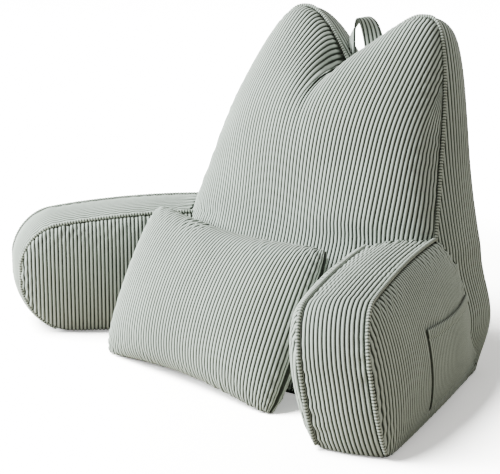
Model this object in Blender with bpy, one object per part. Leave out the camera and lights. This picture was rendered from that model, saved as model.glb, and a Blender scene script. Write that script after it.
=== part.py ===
"""Reading pillow: a crowned backrest with two pointed top corners, two splayed arms and a loose cushion.

+Y is behind the backrest and +Z is up. Seen from the front, +X and the arm named right are on the right.
The origin is on the surface it stands on, under the middle of the backrest. Lengths are in metres.
"""

import bmesh
import bpy
import numpy as np
from math import cos, pi, radians, sin

MM = 0.001
# A mesh grown along its corners' normals stands off its faces by a little less than this.
CUT_GAP = 0.48 * MM

# Backrest. W runs up its leaning front seam plane and U runs across it.
BACK_LEAN = radians(26.2)
BACK_FOOT_Y = -0.120
BACK_CURL = -0.26
BACK_HALF_WIDTH = 0.2350
BACK_FRONT_CROWN = 0.120
BACK_FRONT_ROUND = 0.52
BACK_REAR_CROWN = 0.024
BACK_REAR_ROUND = 0.70
BACK_BEND = radians(54.0)
BACK_BAND_BULGE = 0.006
BACK_FOOT_BULGE = 0.014
BACK_BULGE_HEIGHT = 0.08
BACK_BULGE_RUN = 0.07
BACK_REAR_Y = 0.084
BACK_REAR_TOP_Y = 0.150
BACK_REAR_DROP = 0.026
BACK_REAR_TAPER = 0.01
BACK_FLARE = 0.017
BACK_FLARE_HEIGHT = 0.10
BACK_FLARE_RUN = 0.08
# How full the front is low down and high up, and where it changes.
BACK_LOWER_FULLNESS = 0.475
BACK_UPPER_FULLNESS = 1.16
BACK_FULLER_FROM = 0.16
BACK_FULLER_RUN = 0.26
# The front tucks under at the foot.
BACK_TUCK = 0.08
BACK_TUCK_RUN = 0.05
BACK_FACE_RUN = 0.10
BACK_CURL_HEIGHT = 0.24
# Half of the front seam, from the dip between the two corners, over a corner and down the side.
BACK_TIP = 0.5760
BACK_SEAM = (
    # u on the right, u on the left, w
    (0.0000, 0.0000, 0.4850),
    (0.0430, 0.0330, 0.5230),
    (0.0800, 0.0710, 0.5600),
    (0.1140, 0.1050, 0.5760),
    (0.1480, 0.1400, 0.5600),
    (0.1710, 0.1680, 0.5000),
    (0.1903, 0.1890, 0.4227),
    (0.2060, 0.2040, 0.3485),
    (0.2310, 0.2270, 0.2436),
    (0.2350, 0.2350, 0.2250),
)

# Arms. S runs forward along an arm's centre line from its root.
ARM_STRIP = 0.0925
ARM_ARCH = 0.0186
ARM_NOSE = 0.100
ARM_NOSE_SQUARENESS = 2.2
ARM_FOOT_SQUARENESS = 2.0
ARM_OUTER_CROWN = 0.034
# The outer panel is held in beside the backrest.
ARM_ROOT_CALM = 0.45
ARM_CALM_RUN = 0.09
ARM_STRIP_CROWN = 0.006
ARM_ROUND = 0.62
ARM_INNER_ROUND = 0.46
ARM_BEND = radians(68.0)
# Tangent of the arm's lean outward at its foot, about this height.
ARM_ROLL = {"arm_right": 0.170, "arm_left": 0.140}
ARM_ROLL_HEIGHT = 0.200
ARM_ROOT = 0.045
ARM_NOSE_TRIM = 1.5 * MM
ARM_ROOT_X = 0.147
ARM_ROOT_Y = 0.098
ARM_SHAPE = {
    # side, splay, length, height at root, height at front, round of the nose's top, round of the foot
    "arm_right": (1, radians(18.4), 0.450, 0.208, 0.190, 0.050, 0.028),
    "arm_left": (-1, radians(41.7), 0.440, 0.194, 0.175, 0.062, 0.092),
}
# How far the outer panel's lower corner at the nose sags below the inner one's.
ARM_SAG = {"arm_right": 0.0, "arm_left": 0.018}
ARM_SAG_PLACE = 0.027
ARM_SAG_RUN = 0.030
ARM_SAG_HEIGHT = 0.060
ARM_INNER = {
    # its length and its height as shares of the outer panel's, and its crown
    "arm_right": (1.00, 0.939, 0.047),
    "arm_left": (0.97, 0.965, 0.032),
}

# Loose cushion, standing on its long edge and leaning on the backrest.
CUSHION_WIDTH = 0.380
CUSHION_HEIGHT = 0.252
CUSHION_CROWN = 0.056
CUSHION_LEAN = radians(25.7)
CUSHION_YAW = radians(-7.2)
CUSHION_REAR_SHARE = 0.819
CUSHION_FOOT = (-0.0500, -0.2386, -0.0056)
CUSHION_DRAW_IN = -0.003
CUSHION_WAIST = 0.016
CUSHION_ROUND = 0.46
# How much of the crown is as full at the ends as in the middle, and how far the corners are rounded off.
CUSHION_PLUMP = 0.10
CUSHION_EDGE_ROUND = 0.50
CUSHION_CORNER = 0.007
CUSHION_BEND = radians(62.0)
CUSHION_ACROSS = 20
CUSHION_UP = 12

PIPING_RADIUS = 3.6 * MM
SEAM_CLEARANCE = 0.6 * MM
BACK_PIPING_FOOT = 0.222
ARM_PIPING_FOOT = 2 * MM

# Carry handle, a flat strap bent into a loop behind the dip.
HANDLE_WIDTH = 0.030
HANDLE_THICKNESS = 3.0 * MM
HANDLE_SPAN = 0.052
HANDLE_X = 0.006
HANDLE_Y = 0.100
HANDLE_FOOT_Z = 0.405
HANDLE_HEIGHT = 0.104
HANDLE_SQUARENESS = 0.8
HANDLE_STEPS = 20

# Patch pocket on the outer side of the right arm, in steps of that panel's grid.
POCKET_THICKNESS = 3.0 * MM
POCKET_FOOT_ROW = 1
POCKET_ROWS = 8
POCKET_COLUMNS = 10

SAGE = (0.319, 0.342, 0.301)
SAGE_DARK = (0.240, 0.260, 0.225)


def through(table, t):
    """Smooth curve through the rows of a table whose first column rises."""
    rows = np.asarray(table, float)
    x, y = rows[:, 0], rows[:, 1:]
    step = np.diff(x)[:, None]
    slope = np.diff(y, axis=0) / step
    middle = (slope[:-1] * step[1:] + slope[1:] * step[:-1]) / (step[1:] + step[:-1])
    tangent = np.concatenate([slope[:1], middle, slope[-1:]])
    t = np.asarray(t, float)
    i = np.clip(np.searchsorted(x, t) - 1, 0, len(x) - 2)
    h = step[i]
    s = (t - x[i])[..., None] / h
    return (
        (2 * s**3 - 3 * s**2 + 1) * y[i]
        + (s**3 - 2 * s**2 + s) * h * tangent[i]
        + (3 * s**2 - 2 * s**3) * y[i + 1]
        + (s**3 - s**2) * h * tangent[i + 1]
    )


def squares_of(index):
    """The four corners of every square of a grid, anticlockwise."""
    return np.stack([index[:-1, :-1], index[:-1, 1:], index[1:, 1:], index[1:, :-1]], -1).reshape(-1, 4)


def swell(flat, pinned):
    """How far a filled skin over a flat grid rises, from 0 where it is pinned to 1 at its highest point."""
    rows, columns, _ = flat.shape
    points = flat.reshape(-1, 2)
    index = np.arange(rows * columns).reshape(rows, columns)
    square = squares_of(index)
    triangles = np.concatenate([square[:, [0, 1, 2]], square[:, [0, 2, 3]]])
    corner = points[triangles]
    edge = np.roll(corner, -2, axis=1) - np.roll(corner, -1, axis=1)
    area = np.abs(edge[:, 0, 0] * edge[:, 1, 1] - edge[:, 0, 1] * edge[:, 1, 0]) / 2
    solid = area > 1e-10
    triangles, edge, area = triangles[solid], edge[solid], area[solid]
    stiffness = np.zeros((len(points), len(points)))
    load = np.zeros(len(points))
    for i in range(3):
        np.add.at(load, triangles[:, i], area / 3)
        for j in range(3):
            pair = (edge[:, i] * edge[:, j]).sum(-1) / (4 * area)
            np.add.at(stiffness, (triangles[:, i], triangles[:, j]), pair)
    free = ~pinned.ravel() & (np.diag(stiffness) > 0)
    rise = np.zeros(len(points))
    rise[free] = np.linalg.solve(stiffness[np.ix_(free, free)], load[free])
    return np.clip(rise.reshape(rows, columns) / rise.max(), 0, None)


def eased(count):
    """Steps from 0 to 1, closer together at both ends, where a filled panel turns fastest."""
    t = np.linspace(0, 1, count + 1)
    return 0.45 * t + 0.55 * (0.5 - 0.5 * np.cos(pi * t))


def flat_panel(columns, lower, upper, steps):
    """Grid of flat points: each column runs from the lower to the upper edge of the cut panel."""
    low, high = lower(columns), upper(columns)
    return np.stack(
        [np.broadcast_to(columns, (len(steps), len(columns))), low + (high - low) * steps[:, None]], -1
    )


def rim_of(grid):
    """The grid's border in order: up the first column, over the top, down the last, back along the foot."""
    return np.concatenate([grid[:, 0], grid[-1, 1:], grid[-2::-1, -1], grid[0, -2:0:-1]])


def closed_shell(front, rear, sides=None):
    """Points and faces of a body: two panels of one grid, joined by rings of points or by their border."""
    rows, columns = front.shape[:2]
    index = np.arange(rows * columns).reshape(rows, columns)
    inner = np.zeros((rows, columns), bool)
    inner[1:-1, 1:-1] = True
    rear_index = np.full((rows, columns), -1)
    points = [front.reshape(-1, 3)]
    count = rows * columns
    rings = [rim_of(index)]
    for ring in sides or ():
        points.append(ring)
        rings.append(np.arange(count, count + len(ring)))
        count += len(ring)
    if sides is None:
        rear_index[~inner] = index[~inner]
    else:
        inner[:] = True
    points.append(rear[inner])
    rear_index[inner] = np.arange(count, count + inner.sum())
    if sides is not None:
        rings.append(rim_of(rear_index))
    # Each square is split along the diagonal that leads to its nearest corner of the panel.
    row, column = np.mgrid[: rows - 1, : columns - 1]
    rising = ((row < (rows - 1) / 2) == (column < (columns - 1) / 2)).ravel()
    faces = []
    for grid in (index, rear_index):
        square = squares_of(grid)
        first = np.where(rising[:, None], square[:, [0, 1, 2]], square[:, [0, 1, 3]])
        second = np.where(rising[:, None], square[:, [0, 2, 3]], square[:, [1, 2, 3]])
        halves = np.concatenate([first, second])
        faces.extend(halves if grid is index else halves[:, ::-1])
    for near, far in zip(rings[:-1], rings[1:]):
        faces.extend(np.stack([near, np.roll(near, -1), np.roll(far, -1), far], -1))
    return np.concatenate(points), faces


def add_body(name, points, faces, colour):
    """A mesh object with outward faces and its own material."""
    mesh = bpy.data.meshes.new(name)
    mesh.from_pydata(np.asarray(points).tolist(), [], [face.tolist() for face in faces])
    body = bmesh.new()
    body.from_mesh(mesh)
    bmesh.ops.recalc_face_normals(body, faces=body.faces)
    bmesh.ops.triangulate(body, faces=body.faces)
    body.to_mesh(mesh)
    body.free()
    mesh.shade_smooth()
    item = bpy.data.objects.new(name, mesh)
    PARTS.objects.link(item)
    give_material(item, colour)
    return item


def give_material(item, colour):
    material = bpy.data.materials.new(item.name)
    material.use_nodes = True
    surface = material.node_tree.nodes["Principled BSDF"]
    surface.inputs["Base Color"].default_value = (*colour, 1)
    surface.inputs["Roughness"].default_value = 0.9
    surface.inputs["Metallic"].default_value = 0.0
    item.data.materials.clear()
    item.data.materials.append(material)


def back_top(u):
    table = np.array(BACK_SEAM)
    right, left = (through(table[:, [side, 2]], np.abs(u))[..., 0] for side in (0, 1))
    return np.where(u > 0, right, left)


def backrest_grids(across, up):
    """Front and rear panels of the backrest as grids of points."""
    columns = BACK_HALF_WIDTH * np.sin(BACK_BEND * np.linspace(-1, 1, across + 1)) / sin(BACK_BEND)
    flat = flat_panel(columns, np.zeros_like, back_top, eased(up))
    u, w = flat[..., 0], flat[..., 1]
    pinned = np.zeros(u.shape, bool)
    pinned[-1] = True
    pinned[:, [0, -1]] = True
    rise = swell(flat, pinned)
    upper = np.clip((w - BACK_FULLER_FROM) / BACK_FULLER_RUN, 0, 1)
    fuller = upper * upper * (3 - 2 * upper)
    fullness = BACK_LOWER_FULLNESS * (1 - fuller) + BACK_UPPER_FULLNESS * fuller
    fullness = fullness - BACK_TUCK * np.exp(-w / BACK_TUCK_RUN)
    front_rise = BACK_FRONT_CROWN * rise**BACK_FRONT_ROUND * fullness
    lean_y = BACK_FOOT_Y + w * sin(BACK_LEAN) + BACK_CURL * (w - BACK_CURL_HEIGHT) ** 2
    front = np.stack(
        [
            u,
            lean_y - front_rise * cos(BACK_LEAN),
            w * cos(BACK_LEAN) + front_rise * sin(BACK_LEAN) * np.clip(w / BACK_FACE_RUN, 0, 1),
        ],
        -1,
    )
    share = w / BACK_TIP
    flare = BACK_FLARE * np.exp(-(((w - BACK_FLARE_HEIGHT) / BACK_FLARE_RUN) ** 2))
    rear_y = BACK_REAR_Y + (BACK_REAR_TOP_Y - BACK_REAR_Y) * share**2
    rear = np.stack(
        [
            u * (1 - BACK_REAR_TAPER * share) + np.sign(u) * flare * (np.abs(u) / BACK_HALF_WIDTH) ** 2,
            rear_y + flare + BACK_REAR_CROWN * rise**BACK_REAR_ROUND,
            (w - BACK_REAR_DROP * share) * cos(BACK_LEAN),
        ],
        -1,
    )
    return front, rear


def side_rings(front, rear, count, bulge):
    """Rings between two panels' borders, pushed outward at the middle of the band."""
    near, far = rim_of(front), rim_of(rear)
    middle = (near + far) / 2
    along = np.roll(middle, -1, axis=0) - np.roll(middle, 1, axis=0)
    out = np.cross(far - near, along)
    out /= np.linalg.norm(out, axis=1)[:, None]
    centre = middle.mean(axis=0)
    if np.sum(out * (middle - centre)) < 0:
        out = -out
    on_floor = (near[:, 2] < 1 * MM) & (far[:, 2] < 1 * MM)
    out[on_floor] = 0
    push = bulge(middle[:, 2]) if callable(bulge) else np.full(len(middle), bulge)
    rings = []
    for t in np.arange(1, count + 1) / (count + 1):
        ring = near + (far - near) * t + out * (push * 4 * t * (1 - t))[:, None]
        ring[:, 2] = np.maximum(ring[:, 2], 0)
        rings.append(ring)
    return rings


def band_bulge(z):
    """The side band swells most just above the floor, where the filling settles."""
    return BACK_BAND_BULGE + BACK_FOOT_BULGE * np.exp(-(((z - BACK_BULGE_HEIGHT) / BACK_BULGE_RUN) ** 2))


def make_backrest():
    front, rear = backrest_grids(26, 15)
    points, faces = closed_shell(front, rear, side_rings(front, rear, 2, band_bulge))
    return add_body("backrest", points, faces, SAGE), front, rear


def arm_frame(name, s, off, z):
    """World points of an arm from its own run forward, its offset outward and its height."""
    side, splay = ARM_SHAPE[name][:2]
    off = off + ARM_ROLL[name] * (ARM_ROLL_HEIGHT - z)
    return np.stack(
        [
            side * (ARM_ROOT_X + s * sin(splay) + off * cos(splay)),
            ARM_ROOT_Y - s * cos(splay) + off * sin(splay),
            z,
        ],
        -1,
    )


def arm_grids(name, along, up):
    """Inner and outer panels of an arm: a long side with a rounded nose."""
    length, height_root, height_front, nose_round, foot_round = ARM_SHAPE[name][2:]
    inner_share, inner_drop, inner_crown = ARM_INNER[name]

    def top(s):
        t = s / length
        run = height_root + (height_front - height_root) * t + ARM_ARCH * 4 * t * (1 - t)
        over = np.clip((s - (length - nose_round)) / nose_round, 0, 1)
        return ARM_NOSE + (run - ARM_NOSE) * (1 - over**ARM_NOSE_SQUARENESS) ** (1 / ARM_NOSE_SQUARENESS)

    def foot(s):
        over = np.clip((s - (length - foot_round)) / foot_round, 0, 1)
        return ARM_NOSE * (1 - (1 - over**ARM_FOOT_SQUARENESS) ** (1 / ARM_FOOT_SQUARENESS))

    reach = length - ARM_ROOT - ARM_NOSE_TRIM
    columns = ARM_ROOT + reach * np.sin(ARM_BEND * np.linspace(0, 1, along + 1)) / sin(ARM_BEND)
    flat = flat_panel(columns, foot, top, eased(up))
    s, z = flat[..., 0], flat[..., 1]
    pinned = np.zeros(s.shape, bool)
    pinned[[0, -1]] = True
    pinned[:, -1] = True
    rise = swell(flat, pinned)
    calm = 1 - ARM_ROOT_CALM * np.exp(-(((s - ARM_ROOT) / ARM_CALM_RUN) ** 2))
    nose = (s - length + ARM_SAG_PLACE) / ARM_SAG_RUN
    sag = ARM_SAG[name] * np.exp(-(nose**2) - z / ARM_SAG_HEIGHT)
    inner = arm_frame(name, s * inner_share, -ARM_STRIP / 2 - inner_crown * rise**ARM_INNER_ROUND, z * inner_drop)
    outer = arm_frame(name, s, ARM_STRIP / 2 + ARM_OUTER_CROWN * calm * rise**ARM_ROUND, np.maximum(z - sag, 0))
    return inner, outer


def make_arm(name, cutter):
    inner, outer = arm_grids(name, 17, 11)
    points, faces = closed_shell(inner, outer, side_rings(inner, outer, 2, ARM_STRIP_CROWN))
    arm = add_body(name, points, faces, SAGE)
    cut_by(arm, cutter)
    return inner, outer


def make_cutter(backrest):
    """A copy of the backrest grown by the gap, which shapes whatever is sewn against it."""
    cutter = backrest.copy()
    cutter.data = backrest.data.copy()
    cutter.name = "backrest_clearance"
    body = bmesh.new()
    body.from_mesh(cutter.data)
    body.normal_update()
    for vertex in body.verts:
        vertex.co += vertex.normal * CUT_GAP
    body.to_mesh(cutter.data)
    body.free()
    CUTTERS.objects.link(cutter)
    cutter.hide_render = True
    cutter.display_type = "WIRE"
    return cutter


def cut_by(item, cutter):
    modifier = item.modifiers.new("seat", "BOOLEAN")
    modifier.operation = "DIFFERENCE"
    modifier.solver = "EXACT"
    modifier.object = cutter


def make_cushion():
    half = CUSHION_WIDTH / 2
    columns = half * np.sin(CUSHION_BEND * np.linspace(-1, 1, CUSHION_ACROSS + 1)) / sin(CUSHION_BEND)
    flat = flat_panel(columns, np.zeros_like, lambda x: np.full_like(x, CUSHION_HEIGHT), eased(CUSHION_UP))
    pinned = np.ones(flat.shape[:2], bool)
    pinned[1:-1, 1:-1] = False
    rise = swell(flat, pinned)
    a = flat[..., 0] / half
    b = flat[..., 1] / CUSHION_HEIGHT * 2 - 1
    plump = (np.clip(1 - np.abs(a) ** 6, 0, 1) * np.clip(1 - b**4, 0, 1)) ** CUSHION_EDGE_ROUND
    rise = CUSHION_CROWN * ((1 - CUSHION_PLUMP) * rise**CUSHION_ROUND + CUSHION_PLUMP * plump)
    corner = CUSHION_CORNER * (a * b) ** 8
    x = half * a - CUSHION_DRAW_IN * a * (1 - b**2) - corner * np.sign(a)
    height = CUSHION_HEIGHT / 2 * (1 + b) - CUSHION_WAIST * b * (1 - a**2) - corner * np.sign(b)
    panels = []
    for thick in (rise, -CUSHION_REAR_SHARE * rise):
        y = height * sin(CUSHION_LEAN) - thick * cos(CUSHION_LEAN)
        z = height * cos(CUSHION_LEAN) + thick * sin(CUSHION_LEAN)
        foot_x, foot_y, foot_z = CUSHION_FOOT
        panels.append(
            np.stack(
                [
                    foot_x + x * cos(CUSHION_YAW) - y * sin(CUSHION_YAW),
                    foot_y + x * sin(CUSHION_YAW) + y * cos(CUSHION_YAW),
                    np.maximum(foot_z + z, 0),
                ],
                -1,
            )
        )
    points, faces = closed_shell(*panels)
    return add_body("lumbar_cushion", points, faces, SAGE)


def add_piping(name, path, cutter):
    """A covered cord along a path, cut off where it runs into the backrest."""
    curve = bpy.data.curves.new(name, "CURVE")
    curve.dimensions = "3D"
    curve.bevel_depth = PIPING_RADIUS
    curve.bevel_resolution = 1
    curve.use_fill_caps = True
    spline = curve.splines.new("POLY")
    spline.points.add(len(path) - 1)
    for point, place in zip(spline.points, path):
        point.co = (*place, 1)
    guide = bpy.data.objects.new(name + "_guide", curve)
    CUTTERS.objects.link(guide)
    bpy.context.view_layer.update()
    mesh = bpy.data.meshes.new_from_object(guide.evaluated_get(bpy.context.evaluated_depsgraph_get()))
    bpy.data.objects.remove(guide)
    body = bmesh.new()
    body.from_mesh(mesh)
    bmesh.ops.remove_doubles(body, verts=body.verts, dist=0.01 * MM)
    bmesh.ops.recalc_face_normals(body, faces=body.faces)
    body.to_mesh(mesh)
    body.free()
    mesh.shade_smooth()
    mesh.name = name
    piping = bpy.data.objects.new(name, mesh)
    PARTS.objects.link(piping)
    give_material(piping, SAGE_DARK)
    if cutter:
        cut_by(piping, cutter)


def seam_path(front, rear, bulge):
    """Where a cord lies along a panel's border: just off the edge, straight out from the corner."""
    points, faces = closed_shell(front, rear, side_rings(front, rear, 2, bulge))
    normals = np.zeros_like(points)
    for face in faces:
        corner = points[face[:3]]
        normal = np.cross(corner[1] - corner[0], corner[2] - corner[0])
        normals[face] += normal / np.linalg.norm(normal)
    rim = rim_of(front)
    out = rim_of(normals[: front.shape[0] * front.shape[1]].reshape(front.shape))
    out /= np.linalg.norm(out, axis=1)[:, None]
    if np.sum(out * (rim - rim.mean(axis=0))) < 0:
        out = -out
    return rim + out * (PIPING_RADIUS + SEAM_CLEARANCE)


def make_back_piping(front, rear):
    path = seam_path(front, rear, band_bulge)
    add_piping("back_piping", path[path[:, 2] > BACK_PIPING_FOOT], None)


def make_arm_piping(name, panel, other, cutter):
    """The cord starts inside the backrest's clearance, goes over the nose and ends just above the floor."""
    rows, columns = panel.shape[:2]
    path = seam_path(panel, other, ARM_STRIP_CROWN)[rows : 2 * rows + columns * 2 - 4]
    add_piping(name, path[path[:, 2] > PIPING_RADIUS + ARM_PIPING_FOOT], cutter)


def make_handle(cutter):
    """A flat strap whose feet lie side by side and which turns over as it rises into a loop."""
    turn = np.linspace(0, pi, HANDLE_STEPS + 1)
    centre = np.stack(
        [
            HANDLE_X - HANDLE_SPAN / 2 * np.cos(turn),
            np.full_like(turn, HANDLE_Y),
            HANDLE_FOOT_Z + HANDLE_HEIGHT * np.sin(turn) ** HANDLE_SQUARENESS,
        ],
        -1,
    )
    across = np.stack([np.cos(turn), -np.sin(turn), 0 * turn], -1)
    along = np.gradient(centre, axis=0)
    face = np.cross(along, across)
    face /= np.linalg.norm(face, axis=1)[:, None]
    widths = np.linspace(-HANDLE_WIDTH / 2, HANDLE_WIDTH / 2, 3)
    middle = centre[None] + across[None] * widths[:, None, None]
    inner = middle - face * HANDLE_THICKNESS / 2
    outer = middle + face * HANDLE_THICKNESS / 2
    points, faces = closed_shell(inner, outer, [])
    cut_by(add_body("carry_handle", points, faces, SAGE), cutter)


def make_pocket(outer, cutter):
    """A patch laid on the arm's outer panel, open along its level upper edge."""
    up = np.gradient(outer, axis=0)
    along = np.gradient(outer, axis=1)
    off = np.cross(up, along)
    off /= np.linalg.norm(off, axis=2)[..., None]
    off *= np.sign(off[:, :, :1].mean())
    part = (slice(POCKET_FOOT_ROW, POCKET_ROWS), slice(1, POCKET_COLUMNS))
    inner = outer[part] + off[part] * SEAM_CLEARANCE
    cover = inner + off[part] * POCKET_THICKNESS
    points, faces = closed_shell(inner, cover, [])
    cut_by(add_body("side_pocket", points, faces, SAGE), cutter)


for leftover in list(bpy.data.objects):
    bpy.data.objects.remove(leftover)
PARTS = bpy.data.collections.new("reading_pillow")
CUTTERS = bpy.data.collections.new("cutters")
CUTTERS.hide_render = True
for group in (PARTS, CUTTERS):
    bpy.context.scene.collection.children.link(group)

backrest, back_front, back_rear = make_backrest()
clearance = make_cutter(backrest)
make_back_piping(back_front, back_rear)
for arm_name in ARM_SHAPE:
    arm_inner, arm_outer = make_arm(arm_name, clearance)
    make_arm_piping(arm_name + "_inner_piping", arm_inner, arm_outer, clearance)
    make_arm_piping(arm_name + "_outer_piping", arm_outer, arm_inner, clearance)
    if arm_name == "arm_right":
        make_pocket(arm_outer, clearance)
make_handle(clearance)
make_cushion()
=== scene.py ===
"""Reading pillow in sage green wide-rib corduroy, dressed round its CAD solids."""

from math import cos, pi, radians, sin

import bmesh
import bpy
import numpy as np
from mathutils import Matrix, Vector
from mathutils.bvhtree import BVHTree


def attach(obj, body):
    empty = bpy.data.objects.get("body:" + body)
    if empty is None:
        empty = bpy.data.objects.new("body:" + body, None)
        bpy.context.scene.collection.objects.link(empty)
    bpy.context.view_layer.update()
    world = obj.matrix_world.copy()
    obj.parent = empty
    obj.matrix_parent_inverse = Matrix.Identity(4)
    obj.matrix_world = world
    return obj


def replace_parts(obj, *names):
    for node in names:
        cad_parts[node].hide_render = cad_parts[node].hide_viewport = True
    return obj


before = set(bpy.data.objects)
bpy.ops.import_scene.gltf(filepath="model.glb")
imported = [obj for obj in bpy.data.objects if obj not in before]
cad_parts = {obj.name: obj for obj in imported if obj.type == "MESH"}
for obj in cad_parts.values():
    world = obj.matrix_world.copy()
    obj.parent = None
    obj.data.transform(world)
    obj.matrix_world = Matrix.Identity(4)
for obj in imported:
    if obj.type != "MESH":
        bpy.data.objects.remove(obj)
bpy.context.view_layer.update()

MM = 0.001

# Wide-rib corduroy: a rib every 6.2 mm, round on top, with a narrow groove between ribs.
RIB_PITCH = 6.2 * MM
RIB_HEIGHT = 2.1 * MM
RIB_SQUARENESS = 2.2
RIB_END = 1.2 * MM
# Where a rib is sampled across its width, from one groove to the next.
RIB_STEPS = (0.0, 0.10, 0.28, 0.50, 0.72, 0.90)

# The backrest's front leans back, a little less the higher it goes; u runs across it and w up it.
BACK_LEAN = radians(26.2)
BACK_FOOT_Y = -0.120
BACK_CURL = -0.26
BACK_CURL_HEIGHT = 0.24
BACK_HALF_WIDTH = 0.2350
# The front is fullest high up and is tucked under at its foot.
BACK_FRONT_CROWN = 0.120
BACK_FRONT_ROUND = 0.52
BACK_LOWER_FULLNESS = 0.475
BACK_UPPER_FULLNESS = 1.16
BACK_FULLER_FROM = 0.16
BACK_FULLER_RUN = 0.26
BACK_TUCK = 0.08
BACK_TUCK_RUN = 0.05
BACK_FACE_RUN = 0.10
# The rear stands almost upright, wider just above the floor.
BACK_REAR_CROWN = 0.024
BACK_REAR_ROUND = 0.70
BACK_REAR_TAPER = 0.01
BACK_REAR_Y = 0.084
BACK_REAR_TOP_Y = 0.150
BACK_REAR_DROP = 0.026
BACK_FLARE = 0.017
BACK_FLARE_HEIGHT = 0.10
BACK_FLARE_RUN = 0.08
BACK_BAND_BULGE = 0.006
BACK_FOOT_BULGE = 0.014
BACK_BULGE_HEIGHT = 0.08
BACK_BULGE_RUN = 0.07
BACK_TIP = 0.5760
# The front seam from the dip over a pointed corner and down the side.
BACK_SEAM = (
    # u on the right, u on the left, w
    (0.0000, 0.0000, 0.4850),
    (0.0430, 0.0330, 0.5230),
    (0.0800, 0.0710, 0.5600),
    (0.1140, 0.1050, 0.5760),
    (0.1480, 0.1400, 0.5600),
    (0.1710, 0.1680, 0.5000),
    (0.1903, 0.1890, 0.4227),
    (0.2060, 0.2040, 0.3485),
    (0.2310, 0.2270, 0.2436),
    (0.2350, 0.2350, 0.2250),
)

# An arm's strip runs over its top, down its rounded nose and back to the floor.
ARM_STRIP = 0.0925
ARM_ARCH = 0.0186
ARM_NOSE = 0.100
ARM_NOSE_SQUARENESS = 2.2
ARM_FOOT_SQUARENESS = 2.0
ARM_OUTER_CROWN = 0.034
# The outer panel is held in beside the backrest.
ARM_ROOT_CALM = 0.45
ARM_CALM_RUN = 0.09
ARM_STRIP_CROWN = 0.006
ARM_ROUND = 0.62
ARM_INNER_ROUND = 0.46
# The arms lean outward towards the floor, and start inside the backrest, where they are cut off.
ARM_ROLL = {"arm_right": 0.170, "arm_left": 0.140}
ARM_ROLL_HEIGHT = 0.200
ARM_ROOT = 0.045
# The outer panel is drawn in to the backrest's rear corner.
ARM_TUCK = {"arm_right": 0.0, "arm_left": 0.036}
ARM_TUCK_RUN = 0.040
ARM_NOSE_TRIM = 1.5 * MM
ARM_ROOT_X = 0.147
ARM_ROOT_Y = 0.098
ARM_STEPS = 30
ARM_SHAPE = {
    # side, splay, length, height at root, height at front, round of the nose's top, round of the foot
    "arm_right": (1, radians(18.4), 0.450, 0.208, 0.190, 0.050, 0.028),
    "arm_left": (-1, radians(41.7), 0.440, 0.194, 0.175, 0.062, 0.092),
}
# How far the outer panel's lower corner at the nose sags below the inner one's.
ARM_SAG = {"arm_right": 0.0, "arm_left": 0.018}
ARM_SAG_PLACE = 0.027
ARM_SAG_RUN = 0.030
ARM_SAG_HEIGHT = 0.060
ARM_INNER = {
    # its length and its height as shares of the outer panel's, and its crown
    "arm_right": (1.00, 0.939, 0.047),
    "arm_left": (0.97, 0.965, 0.032),
}

PLEAT_PITCH = 11 * MM
PLEAT_REACH = 16 * MM
PLEAT_HEIGHT = 1.7 * MM
# How unevenly the pleats follow each other, in radians.
PLEAT_WANDER = 1.5
PLEAT_WANDER_SIZE = 0.05

CUSHION_WIDTH = 0.380
CUSHION_HEIGHT = 0.252
CUSHION_CROWN = 0.056
CUSHION_LEAN = radians(25.7)
CUSHION_YAW = radians(-7.2)
CUSHION_REAR_SHARE = 0.819
CUSHION_FOOT = (-0.0500, -0.2386, -0.0056)
# Its ends stand out a little in the middle, and its long edges are drawn in there.
CUSHION_DRAW_IN = -0.003
CUSHION_WAIST = 0.016
CUSHION_ROUND = 0.46
# How much of the crown is as full at the ends as in the middle, and how far the corners are rounded off.
CUSHION_PLUMP = 0.10
CUSHION_EDGE_ROUND = 0.50
CUSHION_CORNER = 0.007
# It is pressed flat where it comes this near the backrest.
CUSHION_REST = 5.0 * MM
CUSHION_STEPS = 44
CUSHION_SAMPLES = 301

# The cord's cover is cut across the ribs, which the turn round it crowds together.
PIPING_PITCH = 4.4 * MM
# Pulled tight in its seam the cord is a little thinner than it is cut.
CORD_RADIUS = 3.0 * MM
PIPING_BEAD = 1.3 * MM
PIPING_END_RADIUS = 0.6 * MM
PIPING_SIDES = 10
PIPING_STEPS_A_RIB = 5
# A way in space that no cord runs along.
PIPING_ASIDE = (0.577, 0.577, -0.577)
PIPING_SMOOTHING = 6
ARM_PIPING_FOOT = 5.6 * MM
SEAM_CLEARANCE = 0.6 * MM
# How far apart the points of a panel's border are that a band is built on.
RIM_STEP = 5 * MM
FLOOR_TOUCH = 1 * MM
# What is sewn against the backrest ends this far off its solid, clear of its ribs.
SEWN_CLEARANCE = 2.3 * MM
# Puckers beside a seam: their spacing along it, how far they reach from it and how high they stand.
PULL_LENGTH = 19 * MM
PULL_REACH = 16 * MM
PULL_HEIGHT = 1.7 * MM
PULL_START = 2 * MM
# Along the floor they are weaker, as if the seam there lay this much further off.
PULL_FLOOR_CALM = 0.020
# How unevenly the puckers follow each other, in radians, and how their strength varies along the seam.
PULL_WANDER = 2.5
PULL_WANDER_SIZE = 0.09
PULL_PATCH_SIZE = 0.12
PULL_USUAL = 0.5
PULL_UNEVEN = 0.8
PULL_MOST = 1.4
BACK_PIPING_FOOT = 0.215

HANDLE_WIDTH = 0.030
HANDLE_THICKNESS = 3.0 * MM
HANDLE_SPAN = 0.052
HANDLE_X = 0.006
HANDLE_Y = 0.100
HANDLE_FOOT_Z = 0.405
HANDLE_HEIGHT = 0.104
HANDLE_SQUARENESS = 0.8
# The strap's ribs are pressed lower than the covers' are, and its two faces leave room for them.
HANDLE_RIB_HEIGHT = 0.9 * MM
HANDLE_RIB_ROOM = 0.6 * MM
HANDLE_STEPS = 90

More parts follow.
